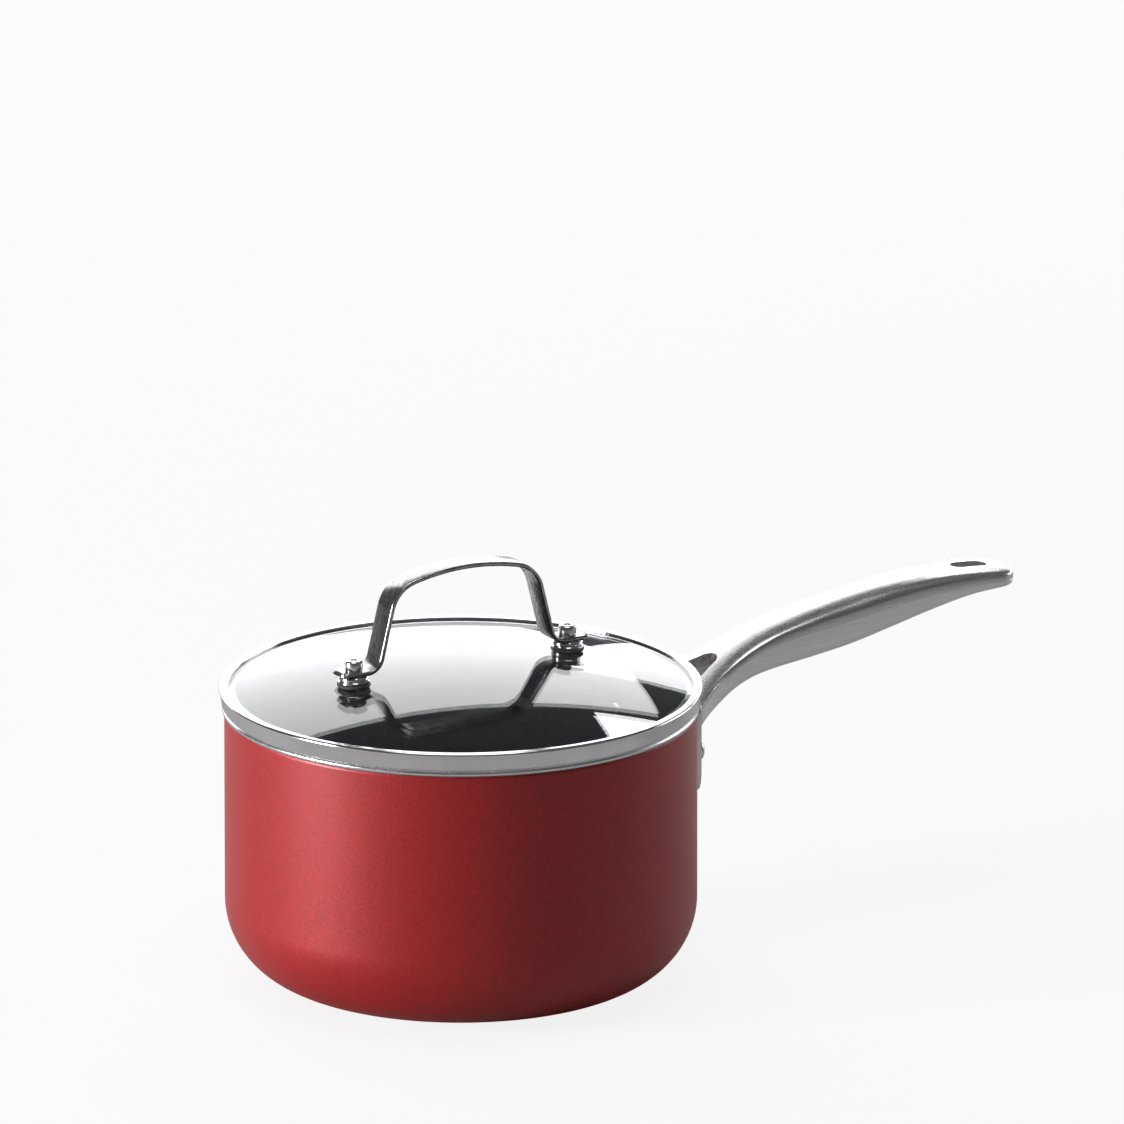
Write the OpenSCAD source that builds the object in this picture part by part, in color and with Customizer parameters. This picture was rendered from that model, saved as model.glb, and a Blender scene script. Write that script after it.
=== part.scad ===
// Saucepan with a domed glass lid.
// Origin: centre of the flat underside of the base plate. +Z up, long handle along +X. Millimetres.

/* [Pan] */
// Outside diameter of the straight wall
pan_d = 165; // [140:1:200]
// Height of the pan from the table to the top of its lip
pan_h = 99.6; // [80:0.2:130]
// Thickness of the side wall
wall_t = 2.6; // [2:0.1:4]
// Thickness of the bottom above the base plate
floor_t = 4; // [3:0.5:6]
// Outside radius of the round corner between wall and base
corner_r = 29; // [15:1:35]
// How far the lip stands out past the wall
lip_out = 0.8; // [0.4:0.1:1.5]
// Thickness of the bonded steel base plate
plate_t = 1.3; // [0.9:0.1:2.5]

/* [Lid] */
// Radius of curvature of the glass dome on its top face
dome_r = 350; // [280:10:500]
// Thickness of the tempered glass
glass_t = 4; // [3:0.5:5]
// How far the crimp reaches in over the edge of the glass
crimp_lap = 1.4; // [1:0.1:4]
// Height of the steel rim band above the lip of the pan, less the thickness of the glass in it
band_lap = 2.4; // [1.8:0.1:5]
// How far the rim band stands out past the wall of the pan
band_out = 1.9; // [1.2:0.1:3]
// Depth of the skirt that centres the lid inside the pan
skirt_h = 5; // [3:0.5:9]
// Thickness of the sheet in the skirt of the rim band
skirt_t = 0.8; // [0.5:0.1:1.2]
// Gap between the skirt and the inside of the pan
skirt_gap = 0.9; // [0.5:0.1:2]

/* [Lid handle] */
// Distance between the two fixing screws
screw_gap = 86; // [70:1:100]
// Height of the arch, from the collars to the top of the strap
arch_h = 34.6; // [28:0.2:45]
// How far each leg of the arch leans out from upright, in degrees
leg_lean = 14; // [0:1:18]
// Width of the strap
strap_w = 10; // [8:0.5:16]
// Thickness of the strap
strap_t = 1.6; // [1.2:0.1:2.5]
// Length of each foot of the strap past its screw
foot_l = 7; // [5.5:0.5:10]
// Diameter of the collar under each foot
collar_d = 10.8; // [9:0.2:13]
// Height of the collar
collar_h = 3; // [2:0.2:5]
// Thickness of the silicone ring on each side of the glass
ring_t = 1; // [0.8:0.1:2]
// Thread diameter of the lid screws
screw_d = 4; // [3:0.5:5]
// Diameter of the round nut on top of each foot
nut_d = 6.2; // [6:0.2:8]
// Height of the round nut
nut_h = 3.6; // [3:0.2:6]

/* [Long handle] */
// Distance from the axis of the pan to the tip of the handle
reach = 222; // [200:1:250]
// Half the width of the grip
grip_half_w = 10.8; // [9:0.2:14]
// Half the spread of the two arms where they meet the bracket
root_half_w = 24.5; // [20:0.5:26]
// Thickness of the pressed sheet of the handle
shell_t = 1.3; // [1:0.1:2]
// Length of the hanging slot
slot_l = 14; // [9:0.5:18]
// Width of the hanging slot
slot_w = 6.8; // [5:0.2:8]

/* [Bracket] */
// Thickness of the bracket plate
bracket_t = 2.3; // [1.5:0.1:3]
// Height of the bracket plate
bracket_h = 34; // [28:1:40]
// Half of the angle that the bracket wraps round the wall
bracket_half_angle = 22.5; // [20:0.5:26]
// Angle of each rivet from the middle of the bracket
rivet_angle = 17.4; // [12:0.2:18]
// Shank diameter of the rivets
rivet_d = 5; // [4:0.5:6]

/* [Hidden] */
$fn = 96;
wall_r = pan_d / 2;
inner_r = wall_r - wall_t;
lip_r = wall_r + lip_out;
pan_base_z = 0.5;
pan_floor_z = plate_t + floor_t;
flat_r = wall_r - corner_r;
plate_r = flat_r - 1.5;
// Lid heights
lip_z = pan_h;
band_h = glass_t + band_lap;
band_top_z = lip_z + band_h;
bead_r = 0.85;
bead_out_r = wall_r + band_out;
glass_edge_r = wall_r + 0.1;
glass_edge_z = band_top_z - 1.2;
dome_c = glass_edge_z - sqrt(dome_r * dome_r - glass_edge_r * glass_edge_r);
under_r = dome_r - glass_t;
screw_x = screw_gap / 2;
glass_z = dome_c + sqrt(dome_r * dome_r - screw_x * screw_x);
under_z = dome_c + sqrt(under_r * under_r - screw_x * screw_x);
skirt_r = inner_r - skirt_gap;
// Stack of pieces on each screw
collar_z = glass_z + ring_t;
foot_z = collar_z + collar_h;
foot_top_z = foot_z + strap_t;
nut_top_z = foot_top_z + nut_h;
washer_d = 13;
washer_t = 0.8;
washer_z = under_z - ring_t - washer_t;
// How far the hollow side of the glass falls away across a washer, and a little more
ring_sag = washer_d * washer_d / (8 * under_r) + 0.02;
head_h = 2.4;
head_d = 8.4;
glass_hole_d = screw_d + 3;
thread_gap = 0.05;
// Strap
arch_r = 85;
arch_top_z = foot_z + arch_h;
bend_r = 11;
foot_bend_r = 5;
foot_end_x = screw_x + foot_l;
tip_r = 7;
arch_c = arch_top_z - strap_t - arch_r;
low_x = screw_x - nut_d / 2 - 0.1;
low_z = foot_top_z + foot_bend_r;
// Both bends together, along and across the straight part of the leaning leg
bends = bend_r + foot_bend_r + strap_t;
function shoulder_z(x) = arch_c + sqrt(pow(arch_r - bend_r, 2) - x * x);
function shoulder_x(x, turns) = turns == 0 ? x : shoulder_x(
  low_x - bends * cos(leg_lean) - (shoulder_z(x) - low_z + bends * sin(leg_lean)) * tan(leg_lean),
  turns - 1
);
bend_x = shoulder_x(screw_x - 24, 6);
bend_z = shoulder_z(bend_x);
arch_turn = asin(bend_x / (arch_r - bend_r));
// Bracket and rivets
bracket_r = wall_r + bracket_t;
bracket_top_z = pan_h - 4.1;
bracket_low_z = bracket_top_z - bracket_h;
bracket_corner_r = 9;
rivet_z = bracket_top_z - 19;
rivet_head_d = rivet_d + 2.8;
rivet_head_h = 2.3;
rivet_inner_d = rivet_d + 4.4;
rivet_inner_h = 1.3;
rivet_gap = 0.1;
// Handle
root_x = wall_r - 8.5;
// 1 at the usual pan and handle; the rows below spread with it
stretch = (reach - wall_r) / 139.5;
notch_end_x = wall_r + 20.5 * stretch;
notch_end_r = 5;
notch_root_half_w = root_half_w - 11;
seam_inset = 0.3;
slot_mid_x = reach - 15.5;
over = 1;

// Rows of the handle: distance from the wall, half width, seam above the lip, crown, depth
offsets = [
  [-10.5, root_half_w + 3, -14.8, 3.2, 9],
  [0.5, root_half_w - 0.5, -10.4, 3.6, 9.2],
  [7.5, root_half_w * 0.77, -7.6, 3.9, 9.2],
  [14.5, root_half_w * 0.61, -4.8, 4.1, 8.9],
  [22.5, root_half_w * 0.2 + grip_half_w * 0.66, -1.5, 4.2, 8.4],
  [30.5, grip_half_w + 0.2, 1.8, 4.5, 8.8],
  [39.5, grip_half_w, 4.6, 4.9, 9.8],
  [55.5, grip_half_w, 7.3, 5.9, 10.5],
  [71.5, grip_half_w, 9.3, 6.7, 10.1],
  [87.5, grip_half_w + 0.1, 11.8, 6.5, 8.9],
  [103.5, grip_half_w + 0.3, 13.6, 5.9, 6.7],
  [119.5, grip_half_w + 0.5, 14.6, 4.9, 4.3],
  [131.5, grip_half_w + 0.3, 14.4, 4.1, 3.1],
  [139.5, grip_half_w, 14.1, 3.2, 2.5],
];
rows = [for (o = offsets) [wall_r + o[0] * stretch, o[1], pan_h + o[2], o[3], o[4]]];
row_n = len(rows);
side_h = 2.2;
crown_n = 9;
tip_corner_r = 8;

// ---- Pan ----

module pan_outline() {
  union() {
    translate([0, pan_base_z])
      square([flat_r, pan_h - 1.2 - pan_base_z]);
    translate([flat_r - 0.01, pan_base_z + corner_r])
      square([corner_r + 0.01, pan_h - 1.2 - pan_base_z - corner_r]);
    intersection() {
      translate([flat_r, pan_base_z + corner_r])
        circle(r = corner_r, $fn = 180);
      translate([flat_r - 0.01, pan_base_z])
        square([corner_r + over, corner_r + over]);
    }
    // Rolled lip with a rounded edge
    translate([lip_r - 1, pan_h - 1.4])
      circle(r = 1, $fn = 48);
    translate([0, pan_h - 2.4])
      square([lip_r - 1, 2]);
    translate([0, pan_h - 1.4])
      square([lip_r - 0.6, 1.4]);
  }
}

module pan_hollow() {
  in_r = corner_r - 2.5;
  union() {
    translate([-over, pan_floor_z])
      square([inner_r - in_r + over, pan_h]);
    translate([-over, pan_floor_z + in_r])
      square([inner_r + over, pan_h]);
    intersection() {
      translate([inner_r - in_r, pan_floor_z + in_r])
        circle(r = in_r, $fn = 180);
      translate([inner_r - in_r - 0.01, pan_floor_z])
        square([in_r + over, in_r + over]);
    }
  }
}

module pan_body() {
  color("#b3161d")
    difference() {
      rotate_extrude($fn = 180)
        difference() {
          intersection() {
            pan_outline();
            square([lip_r + over, pan_h]);
          }
          pan_hollow();
        }
      // Seat for the base plate
      translate([0, 0, -over])
        cylinder(r = plate_r, h = plate_t + over, $fn = 180);
      rivet_bores();
    }
}

module base_plate() {
  color("#a9acb0")
    difference() {
      cylinder(r = plate_r, h = plate_t, $fn = 180);
      // Turned grooves in the underside
      for (groove_r = [plate_r * 0.3, plate_r * 0.58, plate_r * 0.86])
        translate([0, 0, -over])
          difference() {
            cylinder(r = groove_r + 0.6, h = over + 0.4, $fn = 180);
            translate([0, 0, -over])
              cylinder(r = groove_r - 0.6, h = 3 * over, $fn = 180);
          }
    }
}

// ---- Bracket and rivets ----

module at_rivet(side) {
  rotate([0, 0, side * rivet_angle])
    translate([0, 0, rivet_z])
      rotate([0, 90, 0])
        children();
}

module rivet_bores() {
  for (side = [-1, 1])
    at_rivet(side)
      translate([0, 0, inner_r - 6])
        cylinder(d = rivet_d + rivet_gap, h = 16, $fn = 48);
}

module bracket_side_view() {
  half_w = bracket_r * sin(bracket_half_angle);
  union() {
    translate([-half_w, bracket_low_z + bracket_corner_r])
      square([2 * half_w, bracket_h - bracket_corner_r - 4]);
    translate([-half_w + bracket_corner_r, bracket_low_z])
      square([2 * (half_w - bracket_corner_r), bracket_h]);
    for (side = [-1, 1]) {
      translate([side * (half_w - bracket_corner_r), bracket_low_z + bracket_corner_r])
        circle(r = bracket_corner_r, $fn = 64);
      translate([side * (half_w - 4), bracket_top_z - 4])
        circle(r = 4, $fn = 64);
    }
    translate([-half_w + 4, bracket_top_z - bracket_corner_r])
      square([2 * (half_w - 4), bracket_corner_r]);
  }
}

module handle_bracket() {
  color("#c9cccf")
    difference() {
      intersection() {
        difference() {
          cylinder(r = bracket_r, h = pan_h, $fn = 180);
          translate([0, 0, -over])
            cylinder(r = wall_r, h = pan_h + 2 * over, $fn = 180);
        }
        rotate([90, 0, 90])
          linear_extrude(bracket_r + 10)
            bracket_side_view();
      }
      rivet_bores();
    }
}

module bracket_rivet(side) {
  color("#d5d7da")
    union() {
      // Shank through the bracket and the wall
      at_rivet(side)
        translate([0, 0, inner_r - 0.6])
          cylinder(d = rivet_d, h = wall_t + bracket_t + 1.2, $fn = 48);
      // Outer head, seated on the bracket
      difference() {
        at_rivet(side)
          intersection() {
            translate([0, 0, bracket_r - 2])
              cylinder(d = rivet_head_d, h = rivet_head_h + 2, $fn = 64);
            translate([0, 0, bracket_r + rivet_head_h - 6])
              sphere(r = 6, $fn = 96);
          }
        cylinder(r = bracket_r, h = pan_h, $fn = 180);
      }
      // Inner head, seated on the inside of the wall
      intersection() {
        at_rivet(side)
          translate([0, 0, inner_r - rivet_inner_h])
            cylinder(d = rivet_inner_d, h = rivet_inner_h + 2, $fn = 64);
        cylinder(r = inner_r, h = pan_h, $fn = 180);
      }
    }
}

module bracket_rivet_left() {
  bracket_rivet(1);
}

module bracket_rivet_right() {
  bracket_rivet(-1);
}

// ---- Long handle ----

// Smooth value of one column between two rows
function knot(i, col) = rows[max(0, min(row_n - 1, i))][col];
function slope(i, col) =
  (knot(i + 1, col) - knot(i - 1, col)) / (knot(i + 1, 0) - knot(i - 1, 0));
function span(x, i = 0) = (i >= row_n - 2 || x < rows[i + 1][0]) ? i : span(x, i + 1);
function blend(x, col, i, w, t) =
  knot(i, col) * (2 * pow(t, 3) - 3 * pow(t, 2) + 1)
  + slope(i, col) * w * (pow(t, 3) - 2 * pow(t, 2) + t)
  + knot(i + 1, col) * (3 * pow(t, 2) - 2 * pow(t, 3))
  + slope(i + 1, col) * w * (pow(t, 3) - pow(t, 2));
function at(x, col) =
  let(i = span(x), w = rows[i + 1][0] - rows[i][0])
  blend(x, col, i, w, (x - rows[i][0]) / w);

// Half width with the rounded corners of the tip
function half_w_at(x, less) =
  let(into = x - (reach - less - tip_corner_r))
  at(x, 1) - less - (into <= 0 ? 0 : tip_corner_r - sqrt(max(0, pow(tip_corner_r, 2) - into * into)));

// How round the crown is across: rounder at the bracket, flatter at the tip
function round_at(x) = 0.85 - 0.27 * (x - wall_r) / (reach - wall_r);

// Section of the upper shell: straight side, then a rounded crown; less is the inward offset
function upper_ring(x, less, down) =
  let(w = half_w_at(x, less), z = at(x, 2), top = at(x, 3) - less, side = min(side_h, top * 0.45))
  concat(
    [[x, -w, z - down]],
    [for (k = [0:2 * crown_n]) let(a = 180 - 180 * k / (2 * crown_n))
      [x, w * sign(cos(a)) * pow(abs(cos(a)), round_at(x)), z + side + (top - side) * pow(sin(a), 0.85)]],
    [[x, w, z - down]]
  );

// Section of the lower shell: a deep channel with rounded bottom edges
function lower_ring(x, less, up) =
  let(w = half_w_at(x, less + seam_inset), z = at(x, 2), low = at(x, 4) - less)
  concat(
    [[x, w, z + up]],
    [for (k = [0:2 * crown_n]) let(a = 180 * k / (2 * crown_n))
      [x, w * sign(cos(a)) * pow(abs(cos(a)), 0.5), z - 0.25 * low - 0.75 * low * pow(sin(a), 0.6)]],
    [[x, -w, z + up]]
  );

// Skin through equal rings, closed at both ends
module skin(rings) {
  n = len(rings[0]);
  m = len(rings);
  polyhedron(
    points = [for (ring = rings) for (p = ring) p],
    faces = concat(
      [[for (j = [n - 1:-1:0]) j]],
      [for (i = [0:m - 2]) for (j = [0:n - 1]) for (half = [0, 1])
        half == 0
          ? [i * n + j, i * n + (j + 1) % n, (i + 1) * n + j]
          : [(i + 1) * n + j, i * n + (j + 1) % n, (i + 1) * n + (j + 1) % n]],
      [[for (j = [0:n - 1]) (m - 1) * n + j]]
    )
  );
}

function stations(from, to, step) = [for (k = [0:round((to - from) / step)])
  from + k * (to - from) / round((to - from) / step)];
tip_steps = [for (a = [15:15:75]) reach - tip_corner_r + tip_corner_r * sin(a)];
outer_stations = concat(stations(root_x, reach - tip_corner_r, 4), tip_steps, [reach - 0.02]);
hollow_stations = stations(notch_end_x + 6, slot_mid_x - slot_l / 2 - 5, 6);

module notch_and_slot() {
  // Fork between the two arms
  translate([0, 0, pan_h - 30])
    linear_extrude(60)
      union() {
        translate([notch_end_x - notch_end_r, 0])
          circle(r = notch_end_r, $fn = 64);
        polygon([
          [notch_end_x - notch_end_r + 1.8, notch_end_r - 0.35],
          [root_x - 6, notch_root_half_w + 6],
          [root_x - 6, -notch_root_half_w - 6],
          [notch_end_x - notch_end_r + 1.8, -notch_end_r + 0.35],
        ]);
      }
  // Hanging slot
  translate([slot_mid_x, 0, pan_h])
    linear_extrude(40)
      union() {
        square([slot_l - slot_w, slot_w], center = true);
        for (side = [-1, 1])
          translate([side * (slot_l - slot_w) / 2, 0])
            circle(d = slot_w, $fn = 48);
      }
  // Curved seat on the bracket
  translate([0, 0, pan_h - 40])
    cylinder(r = bracket_r, h = 60, $fn = 180);
}

module handle_upper_shell() {
  color("#d9dbdd")
    difference() {
      skin([for (x = outer_stations) upper_ring(x, 0, 0)]);
      skin([for (x = hollow_stations) upper_ring(x, shell_t, 1)]);
      notch_and_slot();
    }
}

module handle_lower_shell() {
  color("#b9bcc0")
    difference() {
      skin([for (x = outer_stations) lower_ring(x, 0, 0)]);
      skin([for (x = hollow_stations) lower_ring(x, shell_t, 1)]);
      notch_and_slot();
    }
}

// ---- Lid ----

module dome_space(r, out) {
  // Everything under a dome of radius r, out to radius out
  intersection() {
    translate([0, dome_c])
      circle(r = r, $fn = 1440);
    translate([0, glass_edge_z - 12])
      square([out, 40]);
  }
}

module glass_profile() {
  difference() {
    dome_space(dome_r, glass_edge_r);
    translate([0, dome_c])
      circle(r = under_r, $fn = 1440);
  }
}

module lid_glass() {
  color("#bcd3dc")
    difference() {
      rotate_extrude($fn = 180)
        glass_profile();
      for (side = [-1, 1])
        translate([side * screw_x, 0, under_z - 10])
          cylinder(d = glass_hole_d, h = 30, $fn = 48);
    }
}

module lid_rim_band() {
  bottom_r = bead_out_r - 1.3;
  color("#dfe1e3")
    rotate_extrude($fn = 180)
      difference() {
        union() {
          // Face of the band and the crimp over the glass
          polygon([
            [skirt_r - skirt_t, lip_z],
            [bottom_r, lip_z],
            [bottom_r + 0.3, lip_z + 0.4],
            [bead_out_r - 0.35, band_top_z - 1.7],
            [bead_out_r - 0.85, band_top_z - 0.1],
            [glass_edge_r - crimp_lap + 0.4, band_top_z - 0.15],
            [glass_edge_r - crimp_lap, band_top_z - 0.5],
            [skirt_r - skirt_t, lip_z + 1.6],
          ]);
          translate([bead_out_r - bead_r, band_top_z - bead_r])
            circle(r = bead_r, $fn = 48);
          // Skirt inside the pan
          translate([skirt_r - skirt_t, lip_z - skirt_h])
            square([skirt_t, skirt_h + 1]);
          translate([skirt_r - skirt_t / 2, lip_z - skirt_h])
            circle(d = skirt_t, $fn = 32);
        }
        glass_profile();
        // Nothing above the glass inside the crimp
        difference() {
          translate([0, lip_z])
            square([glass_edge_r - crimp_lap, 30]);
          translate([0, dome_c])
            circle(r = under_r, $fn = 1440);
        }
      }
}

module at_screw(side) {
  translate([side * screw_x, 0, 0])
    children();
}

// Points of an arc; an angle of 0 points up and 90 points along +X
function arc(x, z, r, from, to, n) =
  [for (k = [0:n]) let(a = from + (to - from) * k / n) [x + r * sin(a), z + r * cos(a)]];

// One face of the strap from the middle of the arch to the tip of the foot: arch, shoulder, leg, foot, tip
function strap_face(out) = concat(
  arc(0, arch_c, arch_r + out, 0, arch_turn, 5),
  arc(bend_x, bend_z, bend_r + out, arch_turn + 6, 90 - leg_lean, 12),
  arc(low_x, low_z, foot_bend_r + strap_t - out, -90 - leg_lean, -180, 12),
  arc(foot_end_x - 3, foot_z + tip_r, tip_r - out, 180, 155, 4)
);
function flip_x(points) = [for (p = points) [-p[0], p[1]]];
function backwards(points, skip) = [for (k = [len(points) - 1:-1:skip]) points[k]];

module strap_side_view() {
  top = strap_face(strap_t);
  under = strap_face(0);
  polygon(concat(
    top,
    backwards(under, 0),
    [for (k = [1:len(under) - 1]) flip_x(under)[k]],
    backwards(flip_x(top), 1)
  ));
}

module lid_handle() {
  color("#cfd2d5")
    difference() {
      intersection() {
        rotate([90, 0, 0])
          translate([0, 0, -strap_w / 2])
            linear_extrude(strap_w)
              strap_side_view();
        // Rounded corners of the feet
        translate([0, 0, foot_z - over])
          linear_extrude(arch_h + 10)
            union() {
              square([2 * foot_end_x - 5, strap_w + over], center = true);
              square([2 * foot_end_x, strap_w - 5], center = true);
              for (sx = [-1, 1])
                for (sy = [-1, 1])
                  translate([sx * (foot_end_x - 2.5), sy * (strap_w / 2 - 2.5)])
                    circle(r = 2.5, $fn = 48);
            }
      }
      for (side = [-1, 1])
        at_screw(side)
          translate([0, 0, foot_z - over])
            cylinder(d = screw_d + 0.4, h = 2 * over + strap_t, $fn = 48);
    }
}

module lid_collar(side) {
  color("#c4c7ca")
    at_screw(side)
      difference() {
        union() {
          translate([0, 0, collar_z])
            cylinder(d = collar_d, h = collar_h - 0.8, $fn = 96);
          translate([0, 0, collar_z + collar_h - 0.8])
            cylinder(d1 = collar_d, d2 = collar_d - 1.6, h = 0.8, $fn = 96);
        }
        translate([0, 0, collar_z - over])
          cylinder(d = screw_d + 0.4, h = collar_h + 2 * over, $fn = 48);
      }
}

// Soft ring between a level face and a tilted face that touches the glass
module soft_ring(side, d, level_z, tilted_z, tilt) {
  up = level_z > tilted_z ? 1 : -1;
  color("#e8e6e2")
    at_screw(side)
      difference() {
        translate([0, 0, min(level_z, tilted_z - 2 * up)])
          cylinder(d = d, h = abs(level_z - tilted_z) + 2, $fn = 96);
        translate([0, 0, tilted_z])
          rotate([0, side * tilt, 0])
            translate([-d, -d, up > 0 ? -10 : 0])
              cube([2 * d, 2 * d, 10]);
        translate([0, 0, tilted_z - 12])
          cylinder(d = screw_d + 0.4, h = 24, $fn = 48);
      }
}

module lid_upper_ring(side) {
  soft_ring(side, collar_d + 1, collar_z, glass_z, asin(screw_x / dome_r));
}

module lid_lower_ring(side) {
  soft_ring(side, washer_d, under_z - ring_t, under_z - ring_sag, asin(screw_x / under_r));
}

module lid_washer(side) {
  color("#b7babd")
    at_screw(side)
      translate([0, 0, washer_z])
        difference() {
          cylinder(d = washer_d, h = washer_t, $fn = 96);
          translate([0, 0, -over])
            cylinder(d = screw_d + 0.4, h = washer_t + 2 * over, $fn = 48);
        }
}

module lid_screw(side) {
  color("#b9bcc0")
    at_screw(side)
      difference() {
        union() {
          // Shank up into the round nut
          translate([0, 0, washer_z - 0.5])
            cylinder(d = screw_d, h = nut_top_z - 1.4 - washer_z + 0.5, $fn = 48);
          // Pan head under the washer
          intersection() {
            translate([0, 0, washer_z - head_h])
              cylinder(d = head_d, h = head_h, $fn = 96);
            translate([0, 0, washer_z - head_h + 7])
              sphere(r = 7, $fn = 96);
          }
        }
        // Cross recess
        for (turn = [0, 90])
          rotate([0, 0, turn])
            translate([-2, -0.45, washer_z - head_h - over])
              cube([4, 0.9, over + 1.2]);
      }
}

module lid_nut(side) {
  color("#dcdee0")
    at_screw(side)
      difference() {
        union() {
          translate([0, 0, foot_top_z])
            cylinder(d = nut_d, h = nut_h - 0.4, $fn = 96);
          translate([0, 0, nut_top_z - 0.4])
            cylinder(d1 = nut_d, d2 = nut_d - 0.8, h = 0.4, $fn = 96);
        }
        // Blind bore for the screw
        translate([0, 0, foot_top_z - over])
          cylinder(d = screw_d + 2 * thread_gap, h = over + nut_h - 1, $fn = 48);
      }
}

pan_body();
base_plate();
handle_bracket();
bracket_rivet_left();
bracket_rivet_right();
handle_upper_shell();
handle_lower_shell();
lid_glass();
lid_rim_band();
lid_handle();
lid_collar(-1);  // lid_collar_left
lid_collar(1);  // lid_collar_right
lid_upper_ring(-1);  // lid_upper_ring_left
lid_upper_ring(1);  // lid_upper_ring_right
lid_lower_ring(-1);  // lid_lower_ring_left
lid_lower_ring(1);  // lid_lower_ring_right
lid_washer(-1);  // lid_washer_left
lid_washer(1);  // lid_washer_right
lid_screw(-1);  // lid_screw_left
lid_screw(1);  // lid_screw_right
lid_nut(-1);  // lid_nut_left
lid_nut(1);  // lid_nut_right
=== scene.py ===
import math

import bmesh
import bpy
from mathutils import Matrix, Vector


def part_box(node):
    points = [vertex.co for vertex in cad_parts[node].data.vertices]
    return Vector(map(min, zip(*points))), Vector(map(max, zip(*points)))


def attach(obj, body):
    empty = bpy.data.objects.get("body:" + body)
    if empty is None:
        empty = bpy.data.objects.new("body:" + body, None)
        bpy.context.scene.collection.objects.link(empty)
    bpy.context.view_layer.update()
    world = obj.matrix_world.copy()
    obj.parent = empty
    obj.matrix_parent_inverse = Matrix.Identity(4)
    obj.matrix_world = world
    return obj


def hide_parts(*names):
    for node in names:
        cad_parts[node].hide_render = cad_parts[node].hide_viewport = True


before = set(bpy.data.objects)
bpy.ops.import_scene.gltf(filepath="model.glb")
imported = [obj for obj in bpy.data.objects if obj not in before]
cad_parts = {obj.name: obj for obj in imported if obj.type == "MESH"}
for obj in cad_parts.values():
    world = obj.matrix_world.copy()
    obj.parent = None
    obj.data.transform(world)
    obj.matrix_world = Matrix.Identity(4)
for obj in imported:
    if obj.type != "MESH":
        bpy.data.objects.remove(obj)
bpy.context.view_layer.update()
mm = 0.001


# ---- Pan body ----
# A deep drawn aluminium pan with a rounded foot and a narrow rolled lip. It is spun as one wall,
# lacquered red outside, coated dark blue inside, and bare and polished on the lip only.

class Wire:
    """A shader socket that takes part in ordinary arithmetic."""

    def __init__(self, tree, socket):
        self.tree = tree
        self.socket = socket

    def work(self, operation, first, second=0.0, third=None):
        node = self.tree.nodes.new("ShaderNodeMath")
        node.operation = operation
        for place, value in enumerate((first, second, third)):
            if isinstance(value, Wire):
                self.tree.links.new(value.socket, node.inputs[place])
            elif value is not None:
                node.inputs[place].default_value = value
        return Wire(self.tree, node.outputs[0])

    def __add__(self, other):
        return self.work("ADD", self, other)

    def __sub__(self, other):
        return self.work("SUBTRACT", self, other)

    def __rsub__(self, other):
        return self.work("SUBTRACT", other, self)

    def __mul__(self, other):
        return self.work("MULTIPLY", self, other)

    __radd__ = __add__
    __rmul__ = __mul__


class Finish:
    """One material: a node tree with a principled surface, and short ways to add to it."""

    def __init__(self, name):
        self.material = bpy.data.materials.new(name)
        self.material.use_nodes = True
        self.tree = self.material.node_tree
        self.tree.nodes.clear()
        self.out = self.tree.nodes.new("ShaderNodeOutputMaterial")
        self.place = self.node("ShaderNodeTexCoord").get("Object")

    def node(self, kind, settings=None, sockets=None):
        made = self.tree.nodes.new(kind)
        for key, value in (settings or {}).items():
            if key == "stops":
                ramp = made.color_ramp
                while len(ramp.elements) < len(value):
                    ramp.elements.new(0.5)
                for element, (position, shade) in zip(ramp.elements, value):
                    element.position = position
                    element.color = (*shade, 1) if len(shade) == 3 else shade
            else:
                setattr(made, key, value)
        for key, value in (sockets or {}).items():
            if isinstance(value, Wire):
                self.tree.links.new(value.socket, made.inputs[key])
            else:
                made.inputs[key].default_value = value
        return Made(self, made)

    def stretched(self, scale, turn=(0, 0, 0)):
        """The place on the piece, scaled along each axis."""
        return self.node("ShaderNodeMapping", None,
                         {"Vector": self.place, "Scale": scale, "Rotation": turn}).get("Vector")

    def noise(self, scale, detail=2.0, roughness=0.5, place=None):
        return self.node("ShaderNodeTexNoise", None,
                         {"Vector": place or self.place, "Scale": scale, "Detail": detail,
                          "Roughness": roughness}).get("Fac")

    def cells(self, scale, place=None):
        """A random number for each of many small cells."""
        spots = self.node("ShaderNodeTexVoronoi", {"feature": "F1"},
                          {"Vector": place or self.place, "Scale": scale}).get("Color")
        return self.node("ShaderNodeSeparateColor", None, {"Color": spots}).get("Red")

    def between(self, value, low, high, start=0.0, end=1.0):
        return self.node("ShaderNodeMapRange", {"clamp": True},
                         {"Value": value, "From Min": low, "From Max": high,
                          "To Min": start, "To Max": end}).get("Result")

    def mixed(self, amount, first, second):
        """A colour from first to second."""
        sockets = {0: amount}
        for key, value in ((6, first), (7, second)):
            sockets[key] = value if isinstance(value, Wire) else (*value, 1)
        return self.node("ShaderNodeMix", {"data_type": "RGBA"}, sockets).get(2)

    def bump(self, height, strength, distance, over=None):
        sockets = {"Height": height, "Strength": strength, "Distance": distance}
        if over:
            sockets["Normal"] = over
        return self.node("ShaderNodeBump", None, sockets).get("Normal")

    def surface(self, **sockets):
        named = {key.replace("_", " ").title().replace("Ior", "IOR"): value
                 for key, value in sockets.items()}
        for key, value in named.items():
            if isinstance(value, tuple) and len(value) == 3 and "Color" in key:
                named[key] = (*value, 1)
        shader = self.node("ShaderNodeBsdfPrincipled", None, named)
        self.tree.links.new(shader.get("BSDF").socket, self.out.inputs["Surface"])
        return self.material


class Made:
    """A node that has been added, whose outputs are read by name or number."""

    def __init__(self, finish, node):
        self.finish = finish
        self.made = node

    def get(self, output):
        return Wire(self.finish.tree, self.made.outputs[output])


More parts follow.
